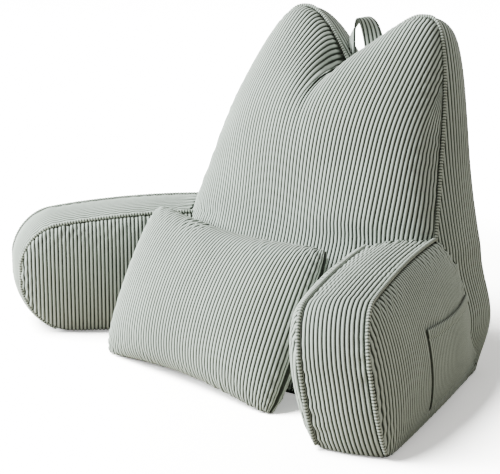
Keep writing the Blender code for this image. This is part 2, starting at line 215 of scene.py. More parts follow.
# Where the pocket starts and ends along the arm, and its foot and mouth above the floor.
POCKET_ROOT = 0.055
POCKET_FRONT = 0.300
POCKET_FOOT = 0.024
POCKET_MOUTH = 0.137
POCKET_SAG = 0.006
POCKET_OFF = 0.3 * MM
POCKET_CLOTH = 0.9 * MM
POCKET_HEM = 0.012
POCKET_GAPE = 0.9 * MM
# The arm's ribs are pressed flat under the pocket and just outside it, the pocket's own beside its stitching.
POCKET_PRESS = 4 * MM
POCKET_SEWN = 5 * MM
POCKET_HEM_RISE = 0.9 * MM
POCKET_HEM_RUN = 1.5 * MM
POCKET_GAPE_DEPTH = 0.020
POCKET_STITCH_DEPTH = 0.7 * MM
POCKET_STITCH_WIDTH = 1.2 * MM
# The share of the pocket's height that its mouth takes, with closer rows for the hem.
POCKET_MOUTH_SHARE = 0.11
POCKET_ROWS = 30
POCKET_MOUTH_ROWS = 8


def through(table, t):
    """Smooth curve through the rows of a table whose first column rises."""
    rows = np.asarray(table, float)
    return glide(rows[:, 0], rows[:, 1:], t)


def glide(x, y, t):
    """Smooth curve through the values y at the rising places x."""
    step = np.diff(x)[:, None]
    slope = np.diff(y, axis=0) / step
    middle = (slope[:-1] * step[1:] + slope[1:] * step[:-1]) / (step[1:] + step[:-1])
    tangent = np.concatenate([slope[:1], middle, slope[-1:]])
    t = np.asarray(t, float)
    i = np.clip(np.searchsorted(x, t) - 1, 0, len(x) - 2)
    h = step[i]
    s = (t - x[i])[..., None] / h
    return (
        (2 * s**3 - 3 * s**2 + 1) * y[i]
        + (s**3 - 2 * s**2 + s) * h * tangent[i]
        + (3 * s**2 - 2 * s**3) * y[i + 1]
        + (s**3 - s**2) * h * tangent[i + 1]
    )


def squares_of(index):
    """The four corners of every square of a grid, anticlockwise."""
    return np.stack([index[:-1, :-1], index[:-1, 1:], index[1:, 1:], index[1:, :-1]], -1).reshape(-1, 4)


def swell(flat, pinned):
    """How far a filled skin over a flat grid rises, from 0 where it is pinned to 1 at its highest point."""
    rows, columns, _ = flat.shape
    points = flat.reshape(-1, 2)
    index = np.arange(rows * columns).reshape(rows, columns)
    square = squares_of(index)
    triangles = np.concatenate([square[:, [0, 1, 2]], square[:, [0, 2, 3]]])
    corner = points[triangles]
    edge = np.roll(corner, -2, axis=1) - np.roll(corner, -1, axis=1)
    area = np.abs(edge[:, 0, 0] * edge[:, 1, 1] - edge[:, 0, 1] * edge[:, 1, 0]) / 2
    solid = area > 1e-10
    triangles, edge, area = triangles[solid], edge[solid], area[solid]
    stiffness = np.zeros((len(points), len(points)))
    load = np.zeros(len(points))
    for i in range(3):
        np.add.at(load, triangles[:, i], area / 3)
        for j in range(3):
            pair = (edge[:, i] * edge[:, j]).sum(-1) / (4 * area)
            np.add.at(stiffness, (triangles[:, i], triangles[:, j]), pair)
    free = ~pinned.ravel() & (np.diag(stiffness) > 0)
    rise = np.zeros(len(points))
    rise[free] = np.linalg.solve(stiffness[np.ix_(free, free)], load[free])
    return np.clip(rise.reshape(rows, columns) / rise.max(), 0, None)


def eased(count):
    """Steps from 0 to 1, closer together at both ends, where a filled panel turns fastest."""
    t = np.linspace(0, 1, count + 1)
    return 0.45 * t + 0.55 * (0.5 - 0.5 * np.cos(pi * t))


def read_field(field, row, column):
    """Smooth reading of an evenly spaced field at fractional rows and columns."""
    total = 0
    for axis, place in enumerate((row, column)):
        place = np.clip(place, 0, field.shape[axis] - 1)
        first = np.clip(np.floor(place).astype(int), 0, field.shape[axis] - 2)
        t = place - first
        weights = (
            (-t + 2 * t**2 - t**3) / 2,
            (2 - 5 * t**2 + 3 * t**3) / 2,
            (t + 4 * t**2 - 3 * t**3) / 2,
            (t**3 - t**2) / 2,
        )
        spots = [np.clip(first + i, 0, field.shape[axis] - 1) for i in (-1, 0, 1, 2)]
        if axis == 0:
            row_weights, row_spots = weights, spots
    for row_weight, row_spot in zip(row_weights, row_spots):
        for weight, spot in zip(weights, spots):
            total = total + row_weight * weight * field[row_spot, spot]
    return total


def panel_rise(columns, lower, upper, pins, fine_columns, fine_steps, coarse=(34, 24)):
    """A cut panel's fine flat grid and its rise, which is solved on a coarse grid and read off smoothly."""
    x = np.linspace(columns[0], columns[1], coarse[0] + 1)
    steps = eased(coarse[1])
    low, high = lower(x), upper(x)
    flat = np.stack([np.broadcast_to(x, (len(steps), len(x))), low + (high - low) * steps[:, None]], -1)
    pinned = np.zeros(flat.shape[:2], bool)
    for part in pins:
        pinned[part] = True
    rise = swell(flat, pinned)
    rise = glide(steps, rise, fine_steps)
    rise = glide(x, rise.T, fine_columns).T
    low, high = lower(fine_columns), upper(fine_columns)
    fine = np.stack(
        [
            np.broadcast_to(fine_columns, (len(fine_steps), len(fine_columns))),
            low + (high - low) * fine_steps[:, None],
        ],
        -1,
    )
    return fine, np.clip(rise, 0, None)


def rim_of(grid):
    """The grid's border in order: up the first column, over the top, down the last, back along the foot."""
    return np.concatenate([grid[:, 0], grid[-1, 1:], grid[-2::-1, -1], grid[0, -2:0:-1]])


def smooth(t):
    """A step from 0 to 1 with a soft start and end."""
    t = np.clip(t, 0, 1)
    return t * t * (3 - 2 * t)


def noise(points, size, seed, octaves=2):
    """Soft random waves in space, about as long as size, between -1 and 1."""
    rng = np.random.default_rng(seed)
    waves = 6
    total = np.zeros(points.shape[:-1])
    for octave in range(octaves):
        for _ in range(waves):
            way = rng.normal(size=3)
            way *= 2 * pi / (size * (0.7 + 0.6 * rng.random()) / 2**octave) / np.linalg.norm(way)
            total += np.sin(points @ way + rng.random() * 2 * pi) / 2**octave
    return total / (waves**0.5 * 1.6)


def rib_places(start, end):
    """Places across a panel, from start to end, that fall on the same points of every rib."""
    first, last = int(np.floor(start / RIB_PITCH)), int(np.ceil(end / RIB_PITCH))
    places = (np.arange(first, last + 1)[:, None] + np.array(RIB_STEPS)).ravel() * RIB_PITCH
    places = places[(places > start + 0.02 * RIB_PITCH) & (places < end - 0.02 * RIB_PITCH)]
    return np.concatenate([[start], places, [end]])


def rib_shape(places):
    """How high a rib stands at a place across it: 0 in the groove and 1 on top."""
    phase = (places / RIB_PITCH) % 1.0
    return np.clip(1 - np.abs(2 * phase - 1) ** RIB_SQUARENESS, 0, 1)


def read_points(data, what, width):
    """Values of a mesh's points, one row each."""
    values = np.zeros(len(data) * width, np.float32)
    data.foreach_get(what, values)
    return values.reshape(-1, width).astype(float)


class Cover:
    """Points, faces, rib heights and small lifts of one closed cover while it is put together."""

    def __init__(self):
        self.points, self.ribs, self.lifts, self.squares, self.odd, self.count = [], [], [], [], [], 0

    def add(self, points, rib, lift=0.0):
        shape = points.shape[:-1]
        index = np.arange(self.count, self.count + int(np.prod(shape))).reshape(shape)
        self.points.append(points.reshape(-1, 3))
        self.ribs.append(np.broadcast_to(rib, shape).ravel())
        self.lifts.append(np.broadcast_to(lift, shape).ravel())
        self.count += index.size
        return index

    def grid(self, index, flip=False):
        square = squares_of(index)
        self.squares.append(square[:, ::-1] if flip else square)

    def join(self, fine, coarse, picks):
        """Faces between a fine closed row and a coarse one whose points face every picked one of it."""
        for j in range(len(picks)):
            start, end = picks[j], picks[(j + 1) % len(picks)]
            if end <= start:
                end += len(fine)
            edge = [int(fine[i % len(fine)]) for i in range(start, end + 1)]
            self.odd.append(edge + [int(coarse[(j + 1) % len(picks)]), int(coarse[j])])

    def make(self, name, colour, height=RIB_HEIGHT):
        points = np.concatenate(self.points)
        ribs = np.concatenate(self.ribs)
        faces = np.concatenate(self.squares)
        mesh = bpy.data.meshes.new(name)
        mesh.from_pydata(points.tolist(), [], faces.tolist() + self.odd)
        for key, values in (("rib", ribs), ("lift", np.concatenate(self.lifts))):
            mesh.attributes.new(key, "FLOAT", "POINT").data.foreach_set("value", values.astype(np.float32))
        body = bmesh.new()
        body.from_mesh(mesh)
        bmesh.ops.remove_doubles(body, verts=body.verts, dist=0.02 * MM)
        bmesh.ops.dissolve_degenerate(body, edges=body.edges, dist=0.01 * MM)
        bmesh.ops.recalc_face_normals(body, faces=body.faces)
        body.to_mesh(mesh)
        body.free()
        out = read_points(mesh.attributes["rib"].data, "value", 1) * height
        out += read_points(mesh.attributes["lift"].data, "value", 1)
        points = read_points(mesh.vertices, "co", 3) + read_points(mesh.vertex_normals, "vector", 3) * out
        mesh.attributes.remove(mesh.attributes["lift"])
        points[:, 2] = np.maximum(points[:, 2], 0)
        mesh.vertices.foreach_set("co", points.ravel().astype(np.float32))
        mesh.update()
        mesh.shade_smooth()
        item = bpy.data.objects.new(name, mesh)
        bpy.context.scene.collection.objects.link(item)
        mesh.materials.append(colour)
        return item


def rim_picks(grid, spacing):
    """Every corner of a grid's rim, and points between them about so far apart."""
    rim = rim_of(grid)
    rows, columns = grid.shape[:2]
    corners = [0, rows - 1, rows + columns - 2, 2 * rows + columns - 3, len(rim)]
    picks = []
    for start, end in zip(corners[:-1], corners[1:]):
        piece = np.concatenate([rim, rim[:1]])[start : end + 1]
        gone = np.concatenate([[0], np.cumsum(np.linalg.norm(np.diff(piece, axis=0), axis=1))])
        count = max(1, int(round(gone[-1] / spacing)))
        marks = np.searchsorted(gone, np.linspace(0, gone[-1], count + 1)[:-1] - 1e-9)
        picks.extend(sorted(set(int(start + m) for m in marks)))
    return np.array(picks)


def outward(near, far):
    """Across a band, the way that faces out from the body at each place along it."""
    middle = (near + far) / 2
    along = np.roll(middle, -1, axis=0) - np.roll(middle, 1, axis=0)
    out = np.cross(far - near, along)
    out /= np.maximum(np.linalg.norm(out, axis=1), 1e-9)[:, None]
    if np.sum(out * (middle - middle.mean(axis=0))) < 0:
        out = -out
    return out


def tone(text):
    """Linear colour of an sRGB hex value."""
    value = np.array([int(text[i : i + 2], 16) for i in (0, 2, 4)]) / 255
    linear = np.where(value <= 0.04045, value / 12.92, ((value + 0.055) / 1.055) ** 2.4)
    return (*linear.tolist(), 1.0)


def add_node(tree, kind, settings=None, **links):
    """A node with its settings, and its inputs, by name or as i and a number, set to values or linked."""
    node = tree.nodes.new(kind)
    for key, value in (settings or {}).items():
        setattr(node, key, value)
    for key, value in links.items():
        numbered = key[0] == "i" and key[1:].isdigit()
        socket = node.inputs[int(key[1:]) if numbered else key.replace("_", " ")]
        if isinstance(value, bpy.types.NodeSocket):
            tree.links.new(value, socket)
        else:
            socket.default_value = value
    return node


def ramp(tree, factor, stops):
    """A colour ramp and its stops, each a place and an sRGB hex value."""
    node = add_node(tree, "ShaderNodeValToRGB", i0=factor)
    elements = node.color_ramp.elements
    while len(elements) < len(stops):
        elements.new(0.5)
    for element, (place, colour) in zip(elements, stops):
        element.position = place
        element.color = tone(colour)
    return node


# Grains of the pile about 1.1 mm across, several times coarser than its tufts, so that they show, and
# random patches of painted nap shading about 70 mm across.
PILE_SCALE = 900.0
PILE_DEPTH = 0.3 * MM
NAP_SHADE_SCALE = 14.0


def corduroy(name, groove, flank, top):
    """Woven cotton corduroy, its pile cut and brushed into ribs.

    The pile's fibre ends catch light at a low angle, which the sheen gives, and nothing in it shines. The
    ground between the ribs hardly sees light: it is painted near black and the flanks dark, as painted shade,
    and the rib tops are painted lighter, as a painted highlight. The pile's grain and slow random patches of
    painted nap shading keep the ribs from looking moulded.
    """
    material = bpy.data.materials.new(name)
    material.use_nodes = True
    tree = material.node_tree
    surface = tree.nodes["Principled BSDF"]
    surface.inputs["Roughness"].default_value = 0.92
    surface.inputs["Specular IOR Level"].default_value = 0.25
    surface.inputs["Sheen Weight"].default_value = 0.35
    surface.inputs["Sheen Roughness"].default_value = 0.45
    surface.inputs["Sheen Tint"].default_value = tone("c9cdbf")
    rib = add_node(tree, "ShaderNodeAttribute", {"attribute_name": "rib"})
    place = add_node(tree, "ShaderNodeTexCoord")
    pile = add_node(tree, "ShaderNodeTexNoise", Vector=place.outputs["Object"], Scale=PILE_SCALE, Detail=3.0)
    nap_shade_noise = add_node(tree, "ShaderNodeTexNoise", Vector=place.outputs["Object"], Scale=NAP_SHADE_SCALE, Detail=3.0)
    # The colour follows the rib's profile: near black in the groove and dark on the flanks as painted shade,
    # pale sage on the tops, lightened there as a painted highlight.
    colour = ramp(tree, rib.outputs["Fac"], ((0.0, groove), (0.46, flank), (0.97, top)))
    grain = ramp(tree, pile.outputs[0], ((0.25, "a8a8a8"), (0.75, "ffffff")))
    # Random patches a little darker, about 70 mm across: painted nap shading.
    fade = ramp(tree, nap_shade_noise.outputs[0], ((0.3, "e4e4e4"), (0.7, "ffffff")))
    multiply = {"data_type": "RGBA", "blend_type": "MULTIPLY"}
    grained = add_node(tree, "ShaderNodeMix", multiply, i0=0.35, i6=colour.outputs[0], i7=grain.outputs[0])
    nap_shaded = add_node(tree, "ShaderNodeMix", multiply, i0=0.6, i6=grained.outputs[2], i7=fade.outputs[0])
    tree.links.new(nap_shaded.outputs[2], surface.inputs["Base Color"])
    bump = add_node(tree, "ShaderNodeBump", Strength=0.35, Distance=PILE_DEPTH, Height=pile.outputs[0])
    tree.links.new(bump.outputs[0], surface.inputs["Normal"])
    return material


# The covers' cloth: pale sage, with painted shade near black in the grooves and dark on the flanks and a
# painted highlight on the rib tops, which gives the even upright lines.
CORDUROY = corduroy("Sage_cotton_corduroy", "131611", "3d443b", "cad4ca")
# The same cloth pulled tight round a cord, its grooves opened: its flanks carry less painted shade and its
# tops a duller painted highlight, so it looks more even and a shade duller.
CORD_COVER = corduroy("Sage_corduroy_cord_cover", "141712", "5e645b", "c2cabf")


# The crease that runs down from the dip between the two top corners.
BACK_CREASE = 0.016
BACK_CREASE_WIDTH = 0.020
BACK_CREASE_RUN = 0.075
BACK_CREASE_EDGE = 6 * MM
# Above the right arm the filled front hangs over a little before it tucks in to the seams.
OVERHANG = 0.012
OVERHANG_HEIGHT = 0.034
OVERHANG_RUN = 0.110
OVERHANG_ACROSS = 0.140
OVERHANG_EDGE = 0.075
BACK_DRAWN = 3.0 * MM
BACK_DRAWN_HEIGHT = 9 * MM
BACK_DRAWN_FROM = 0.13
BACK_DRAWN_EDGE = 4 * MM


def seam_pulls(points, distance, along, seed):
    """Small puckers beside a seam: waves along it that die away from it, stronger in some places."""
    wave = np.sin(2 * pi * along / PULL_LENGTH + PULL_WANDER * noise(points, PULL_WANDER_SIZE, seed))
    strength = np.clip(PULL_USUAL + PULL_UNEVEN * noise(points, PULL_PATCH_SIZE, seed + 1), 0, PULL_MOST)
    fade = np.exp(-np.maximum(distance, 0) / PULL_REACH)
    near = np.clip(distance / PULL_START, 0, 1)
    return PULL_HEIGHT * wave * strength * fade * near


def back_top(u):
    """How far up the cut panel the front seam lies at a place across it."""
    table = np.array(BACK_SEAM)
    right, left = (through(table[:, [side, 2]], np.abs(u))[..., 0] for side in (0, 1))
    return np.where(u > 0, right, left)


def back_surfaces(u, w, rise):
    """Front and rear skins of the backrest, without ribs."""
    fuller = smooth((w - BACK_FULLER_FROM) / BACK_FULLER_RUN)
    fullness = BACK_LOWER_FULLNESS * (1 - fuller) + BACK_UPPER_FULLNESS * fuller
    fullness = fullness - BACK_TUCK * np.exp(-w / BACK_TUCK_RUN)
    front_rise = BACK_FRONT_CROWN * rise**BACK_FRONT_ROUND * fullness
    lean_y = BACK_FOOT_Y + w * sin(BACK_LEAN) + BACK_CURL * (w - BACK_CURL_HEIGHT) ** 2
    front = np.stack(
        [
            u,
            lean_y - front_rise * cos(BACK_LEAN),
            w * cos(BACK_LEAN) + front_rise * sin(BACK_LEAN) * np.clip(w / BACK_FACE_RUN, 0, 1),
        ],
        -1,
    )
    share = w / BACK_TIP
    flare = BACK_FLARE * np.exp(-(((w - BACK_FLARE_HEIGHT) / BACK_FLARE_RUN) ** 2))
    rear_y = BACK_REAR_Y + (BACK_REAR_TOP_Y - BACK_REAR_Y) * share**2
    rear = np.stack(
        [
            u * (1 - BACK_REAR_TAPER * share) + np.sign(u) * flare * (np.abs(u) / BACK_HALF_WIDTH) ** 2,
            rear_y + flare + BACK_REAR_CROWN * rise**BACK_REAR_ROUND,
            (w - BACK_REAR_DROP * share) * cos(BACK_LEAN),
        ],
        -1,
    )
    return front, rear


def band_bulge(z):
    """The side band swells most just above the floor, where the filling settles."""
    return BACK_BAND_BULGE + BACK_FOOT_BULGE * np.exp(-(((z - BACK_BULGE_HEIGHT) / BACK_BULGE_RUN) ** 2))


class BackField:
    """How the backrest's filling lifts its panels, at any place on the cut panel."""

    def __init__(self):
        self.across, self.up = 56, 40
        u = np.linspace(-BACK_HALF_WIDTH, BACK_HALF_WIDTH, self.across + 1)
        share = np.linspace(0, 1, self.up + 1)
        flat = np.stack(np.broadcast_arrays(u[None], back_top(u)[None] * share[:, None]), -1)
        pinned = np.zeros(flat.shape[:2], bool)
        pinned[-1] = True
        pinned[:, [0, -1]] = True
        self.rise = swell(flat, pinned)

    def lift(self, u, w):
        share = np.clip(w / back_top(u), 0, 1)
        column = (u / BACK_HALF_WIDTH + 1) / 2 * self.across
        return np.clip(read_field(self.rise, share * self.up, column), 0, None)

    def front(self, u, w):
        return back_surfaces(u, w, self.lift(u, w))[0]


# Inside this half width the front is so flat that its ribs run straight.
BACK_STRAIGHT = 0.10
# The last ribs before the side seam share out what is left of the cloth's width.
BACK_SHARED_RIBS = 0.020
BACK_SIDE_TOP = 0.45
BACK_SIDE_SAMPLES = 600
# How finely the ribs' courses are worked out, up to a little above the tips.
BACK_TABLE_ROWS = 97
BACK_TABLE_COLUMNS = 331
BACK_TABLE_OVER = 3 * MM
BACK_STEPS = 54


def side_edge(w, side):
    """Half width of the cut panel at a height, on one side."""
    tip = BACK_SEAM[3][0 if side > 0 else 1]
    u = np.linspace(tip, BACK_HALF_WIDTH, BACK_SIDE_SAMPLES)
    return np.interp(w, back_top(side * u)[::-1], u[::-1])


def rib_curves(field):
    """Where each place across the cut front panel lies, by height.

    The ribs stay evenly apart along the crowned cloth, so they draw closer together on the flat pattern.
    """
    heights = np.linspace(0, BACK_TIP + BACK_TABLE_OVER, BACK_TABLE_ROWS)
    sides = {}
    for side in (-1, 1):
        rows = []
        for w, edge in zip(heights, side_edge(heights, side)):
            cut = np.linspace(0, edge, BACK_TABLE_COLUMNS)
            skin = field.front(side * cut, np.full_like(cut, w))
            length = np.linalg.norm(np.diff(skin, axis=0), axis=1)
            step = np.where(cut[1:] <= BACK_STRAIGHT, np.diff(cut), length)
            rows.append((np.concatenate([[0], np.cumsum(step)]), cut))
        whole = np.array([gone[-1] for gone, _ in rows])
        straight_side = whole[heights < BACK_SIDE_TOP]
        sides[side] = (rows, whole, straight_side.min() - BACK_SHARED_RIBS, np.median(straight_side))
    places = rib_places(-sides[-1][3], sides[1][3])
    table = np.zeros((len(heights), len(places)))
    ends = np.full(len(places), np.nan)
    for k, place in enumerate(places):
        side = 1 if place > 0 else -1
        rows, whole, shared, reach = sides[side]
        over = max(abs(place) - shared, 0) / (reach - shared)
        along = min(abs(place), shared) + over * np.maximum(whole - shared, 0)
        table[:, k] = [side * np.interp(go, gone, cut) for go, (gone, cut) in zip(along, rows)]
        room = back_top(table[:, k]) - heights
        spare = whole - np.maximum(along, min(abs(place), shared))
        inside = np.where((room > 1e-6) & (spare > 1e-6))[0]
        inside = inside[inside < len(heights) - 1]
        if len(inside):
            i = inside[-1]
            gauge = spare if spare[i + 1] <= 1e-6 else room
            share = gauge[i] / max(gauge[i] - gauge[i + 1], 1e-9)
            ends[k] = heights[i] + (heights[i + 1] - heights[i]) * np.clip(share, 0, 1)
    ends[0], ends[-1] = ends[1], ends[-2]
    return places, heights, table, ends


def make_backrest():
    """Front and rear panels with upright ribs, and the band between them whose ribs follow the rear edge."""
    field = BackField()
    places, heights, table, ends = rib_curves(field)
    steps = eased(BACK_STEPS)
    w = ends[None, :] * steps[:, None]
    u = np.stack([np.interp(w[:, k], heights, table[:, k]) for k in range(len(places))], 1)
    w[-1] = np.where(np.abs(u[-1]) < BACK_HALF_WIDTH - 1e-6, back_top(u[-1]), w[-1])
    front, rear = back_surfaces(u, w, field.lift(u, w))
    margin = np.minimum(np.where(u > 0, side_edge(w, 1), side_edge(w, -1)) - np.abs(u), back_top(u) - w)
    depth = (u / BACK_CREASE_WIDTH) ** 2 + ((BACK_SEAM[0][2] - w) / BACK_CREASE_RUN) ** 2
    crease = BACK_CREASE * np.exp(-depth) * np.clip(margin / BACK_CREASE_EDGE, 0, 1)
    front_lift = seam_pulls(front, margin, w, seed=3) - crease
    above = front[..., 2] - ARM_SHAPE["arm_right"][3]
    overhang = smooth(above / OVERHANG_HEIGHT) * (1 - smooth((above - OVERHANG_HEIGHT) / OVERHANG_RUN))
    across = smooth(u / OVERHANG_ACROSS) * np.clip(margin / OVERHANG_EDGE, 0, 1)
    front_lift += OVERHANG * overhang * across
    # Above each arm's strip the front is drawn in to the seam.
    beside = smooth((np.abs(u) - BACK_DRAWN_FROM) / BACK_DRAWN_HEIGHT)
    drawn = beside * np.exp(-((above / BACK_DRAWN_HEIGHT) ** 2)) * np.clip(margin / BACK_DRAWN_EDGE, 0, 1)
    front_lift -= BACK_DRAWN * drawn
    ribs = rib_shape(places)[None, :] * np.clip(margin / RIB_END, 0, 1)
    ribs[[0, -1]] = 0
    ribs[:, [0, -1]] = 0

    cover = Cover()
    front_index = cover.add(front, ribs, front_lift)
    rear_index = cover.add(rear, ribs)
    cover.grid(front_index)
    cover.grid(rear_index, flip=True)
    picks = rim_picks(front, RIM_STEP)
    near, far = rim_of(front)[picks], rim_of(rear)[picks]
    out = outward(near, far)
    on_floor = (near[:, 2] < FLOOR_TOUCH) & (far[:, 2] < FLOOR_TOUCH)
    out[on_floor] = 0
    width = np.linalg.norm(far - near, axis=1)
    push = band_bulge((near[:, 2] + far[:, 2]) / 2)
    arc = width + 8 / 3 * push**2 / np.maximum(width, 1e-6)
    distance = rib_places(0, arc.max())[1:-1]
    # Ribs run parallel to the rear edge; where one would pass the front seam it ends on it.
    t = np.clip(1 - distance[None, :] / arc[:, None], 0, 1)[..., None]
    band = near[:, None] + (far - near)[:, None] * t + out[:, None] * (push[:, None, None] * 4 * t * (1 - t))
    band[..., 2] = np.maximum(band[..., 2], 0)
    band_ribs = np.where(t[..., 0] > 0, rib_shape(distance)[None, :], 0.0)
    band_ribs[on_floor] = 0
    index = cover.add(band, band_ribs)
    cover.squares.append(squares_of(np.concatenate([index, index[:1]])))
    cover.join(rim_of(rear_index), index[:, 0], picks)
    cover.join(rim_of(front_index), index[:, -1], picks)
    return cover.make("backrest_cover", CORDUROY), near, far


backrest, back_near, back_far = make_backrest()
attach(backrest, "root")
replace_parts(backrest, "backrest")


def arm_frame(name, s, off, z):
    """World points of an arm from its own run forward, its offset outward and its height."""
    side, splay = ARM_SHAPE[name][:2]
    off = off + ARM_ROLL[name] * (ARM_ROLL_HEIGHT - z)
    return np.stack(
        [
            side * (ARM_ROOT_X + s * sin(splay) + off * cos(splay)),
            ARM_ROOT_Y - s * cos(splay) + off * sin(splay),
            z + 0 * s,
        ],
        -1,
    )


def arm_outline(name):
    """Upper and lower edge of an arm's side panel at a place along it."""
    length, height_root, height_front, nose_round, foot_round = ARM_SHAPE[name][2:]

    def top(s):
        t = s / length
        run = height_root + (height_front - height_root) * t + ARM_ARCH * 4 * t * (1 - t)
        over = np.clip((s - (length - nose_round)) / nose_round, 0, 1)
        return ARM_NOSE + (run - ARM_NOSE) * (1 - over**ARM_NOSE_SQUARENESS) ** (1 / ARM_NOSE_SQUARENESS)

    def foot(s):
        over = np.clip((s - (length - foot_round)) / foot_round, 0, 1)
        return ARM_NOSE * (1 - (1 - over**ARM_FOOT_SQUARENESS) ** (1 / ARM_FOOT_SQUARENESS))

    return foot, top


def away_from(tree, points):
    """Distance of every point from a surface."""
    reach = np.ones(points.shape[:-1])
    for place in np.ndindex(reach.shape):
        reach[place] = tree.find_nearest(points[place])[3]
    return reach


def back_pleats(points, across):
    """Short pleats where an arm is gathered into the seam beside the backrest."""
    depth = np.exp(-((away_from(BACK_TREE, points) / PLEAT_REACH) ** 2))
    wander = PLEAT_WANDER * noise(points, PLEAT_WANDER_SIZE, 41)
    return PLEAT_HEIGHT * depth * np.sin(2 * pi * across / PLEAT_PITCH + wander)


def pocket_mouth(s):
    """Height of the pocket's open edge at a place along the arm."""
    across = np.clip((s - POCKET_ROOT) / (POCKET_FRONT - POCKET_ROOT), 0, 1)
    return POCKET_MOUTH - POCKET_SAG * np.sin(pi * across)


def under_pocket(s, z):
    """1 where the pocket presses the arm's ribs flat, 0 away from it."""
    edge = POCKET_PRESS
    sides = smooth((POCKET_FRONT + edge - s) / edge) * smooth((z - POCKET_FOOT + edge) / edge)
    return sides * smooth((pocket_mouth(s) + edge - z) / edge)


def make_arm(name):
    """An arm's cover: two side panels with upright ribs and a strip whose ribs run over the nose."""
    length = ARM_SHAPE[name][2]
    inner_share, inner_drop, inner_crown = ARM_INNER[name]
    foot, top = arm_outline(name)
    places = rib_places(ARM_ROOT, length - ARM_NOSE_TRIM)
    steps = eased(ARM_STEPS)
    pins = (np.s_[0], np.s_[-1], np.s_[:, -1])
    flat, rise = panel_rise((ARM_ROOT, length - ARM_NOSE_TRIM), foot, top, pins, places, steps)
    s, z = flat[..., 0], flat[..., 1]
    calm = 1 - ARM_ROOT_CALM * np.exp(-(((s - ARM_ROOT) / ARM_CALM_RUN) ** 2))
    nose = (s - length + ARM_SAG_PLACE) / ARM_SAG_RUN
    sag = ARM_SAG[name] * np.exp(-(nose**2) - z / ARM_SAG_HEIGHT)
    hollow = inner_crown * rise**ARM_INNER_ROUND
    inner = arm_frame(name, s * inner_share, -ARM_STRIP / 2 - hollow, z * inner_drop)
    tuck = ARM_TUCK[name] * np.exp(-(((s - ARM_ROOT) / ARM_TUCK_RUN) ** 2))
    bulge = ARM_OUTER_CROWN * calm * rise**ARM_ROUND
    outer = arm_frame(name, s, ARM_STRIP / 2 + bulge - tuck, np.maximum(z - sag, 0))
    ribs = np.broadcast_to(rib_shape(places), flat.shape[:2]).copy()
    ribs[[0, -1]] = 0
    ribs[:, [0, -1]] = 0
    covered = under_pocket(s, z) if name == "arm_right" else 0
    edge = np.minimum(np.minimum(top(s) - z, length - ARM_NOSE_TRIM - s), z + PULL_FLOOR_CALM)
    inner_lift = seam_pulls(inner, edge, s + z, 21)
    outer_lift = (seam_pulls(outer, edge, s + z, 31) + back_pleats(outer, z)) * (1 - covered)
    outer_lift = outer_lift - RIB_HEIGHT * ribs * covered
    cover = Cover()
    inner_index = cover.add(inner, ribs, inner_lift)
    outer_index = cover.add(outer, ribs, outer_lift)
    cover.grid(inner_index)
    cover.grid(outer_index, flip=True)
    picks = rim_picks(inner, RIM_STEP)
    near, far = rim_of(inner)[picks], rim_of(outer)[picks]
    out = outward(near, far)
    out[(near[:, 2] < FLOOR_TOUCH) & (far[:, 2] < FLOOR_TOUCH)] = 0
    across = rib_places(-ARM_STRIP / 2, ARM_STRIP / 2)[1:-1]
    t = (across / ARM_STRIP + 0.5)[None, :, None]
    strip = near[:, None] + (far - near)[:, None] * t + out[:, None] * (ARM_STRIP_CROWN * 4 * t * (1 - t))
    strip[..., 2] = np.maximum(strip[..., 2], 0)
    strip_ribs = np.broadcast_to(rib_shape(across), strip.shape[:2]).copy()
    middle = (near + far) / 2
    gone = np.concatenate([[0], np.cumsum(np.linalg.norm(np.diff(middle, axis=0), axis=1))])[:, None]
    side = np.minimum(t[..., 0], 1 - t[..., 0]) * ARM_STRIP
    strip_lift = seam_pulls(strip, side, gone, 11) + back_pleats(strip, across[None, :] + 0 * gone)
    index = cover.add(strip, strip_ribs, strip_lift)
    cover.squares.append(squares_of(np.concatenate([index, index[:1]])))
    cover.join(rim_of(inner_index), index[:, 0], picks)
    cover.join(rim_of(outer_index), index[:, -1], picks)
    return cover.make(name + "_cover", CORDUROY), inner, outer


def make_clearance():
    """A plain copy of the backrest, grown a little, that shapes what is sewn against it."""
    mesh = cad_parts["backrest"].data.copy()
    body = bmesh.new()
    body.from_mesh(mesh)
    bmesh.ops.remove_doubles(body, verts=body.verts, dist=0.01 * MM)
    bmesh.ops.recalc_face_normals(body, faces=body.faces)
    body.normal_update()
    for vertex in body.verts:
        vertex.co += vertex.normal * SEWN_CLEARANCE
    body.to_mesh(mesh)
    body.free()
    mesh.materials.clear()
    item = bpy.data.objects.new("clearance", mesh)
    bpy.context.scene.collection.objects.link(item)
    return item


def cut_back(item):
    """Cuts a piece off where it would run into the backrest."""
    modifier = item.modifiers.new("seat", "BOOLEAN")
    modifier.operation = "DIFFERENCE"
    modifier.solver = "EXACT"
    modifier.object = clearance
    bpy.ops.object.select_all(action="DESELECT")
    bpy.context.view_layer.objects.active = item
    bpy.ops.object.modifier_apply(modifier=modifier.name)


clearance = make_clearance()
BACK_TREE = BVHTree.FromPolygons(
    [vertex.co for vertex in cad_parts["backrest"].data.vertices],
    [face.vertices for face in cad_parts["backrest"].data.polygons],
)
arm_panels = {}
for arm_name in ARM_SHAPE:
    arm, arm_inner, arm_outer = make_arm(arm_name)
    cut_back(arm)
    arm_panels[arm_name] = (arm_inner, arm_outer)
    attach(arm, "root")
    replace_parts(arm, arm_name)


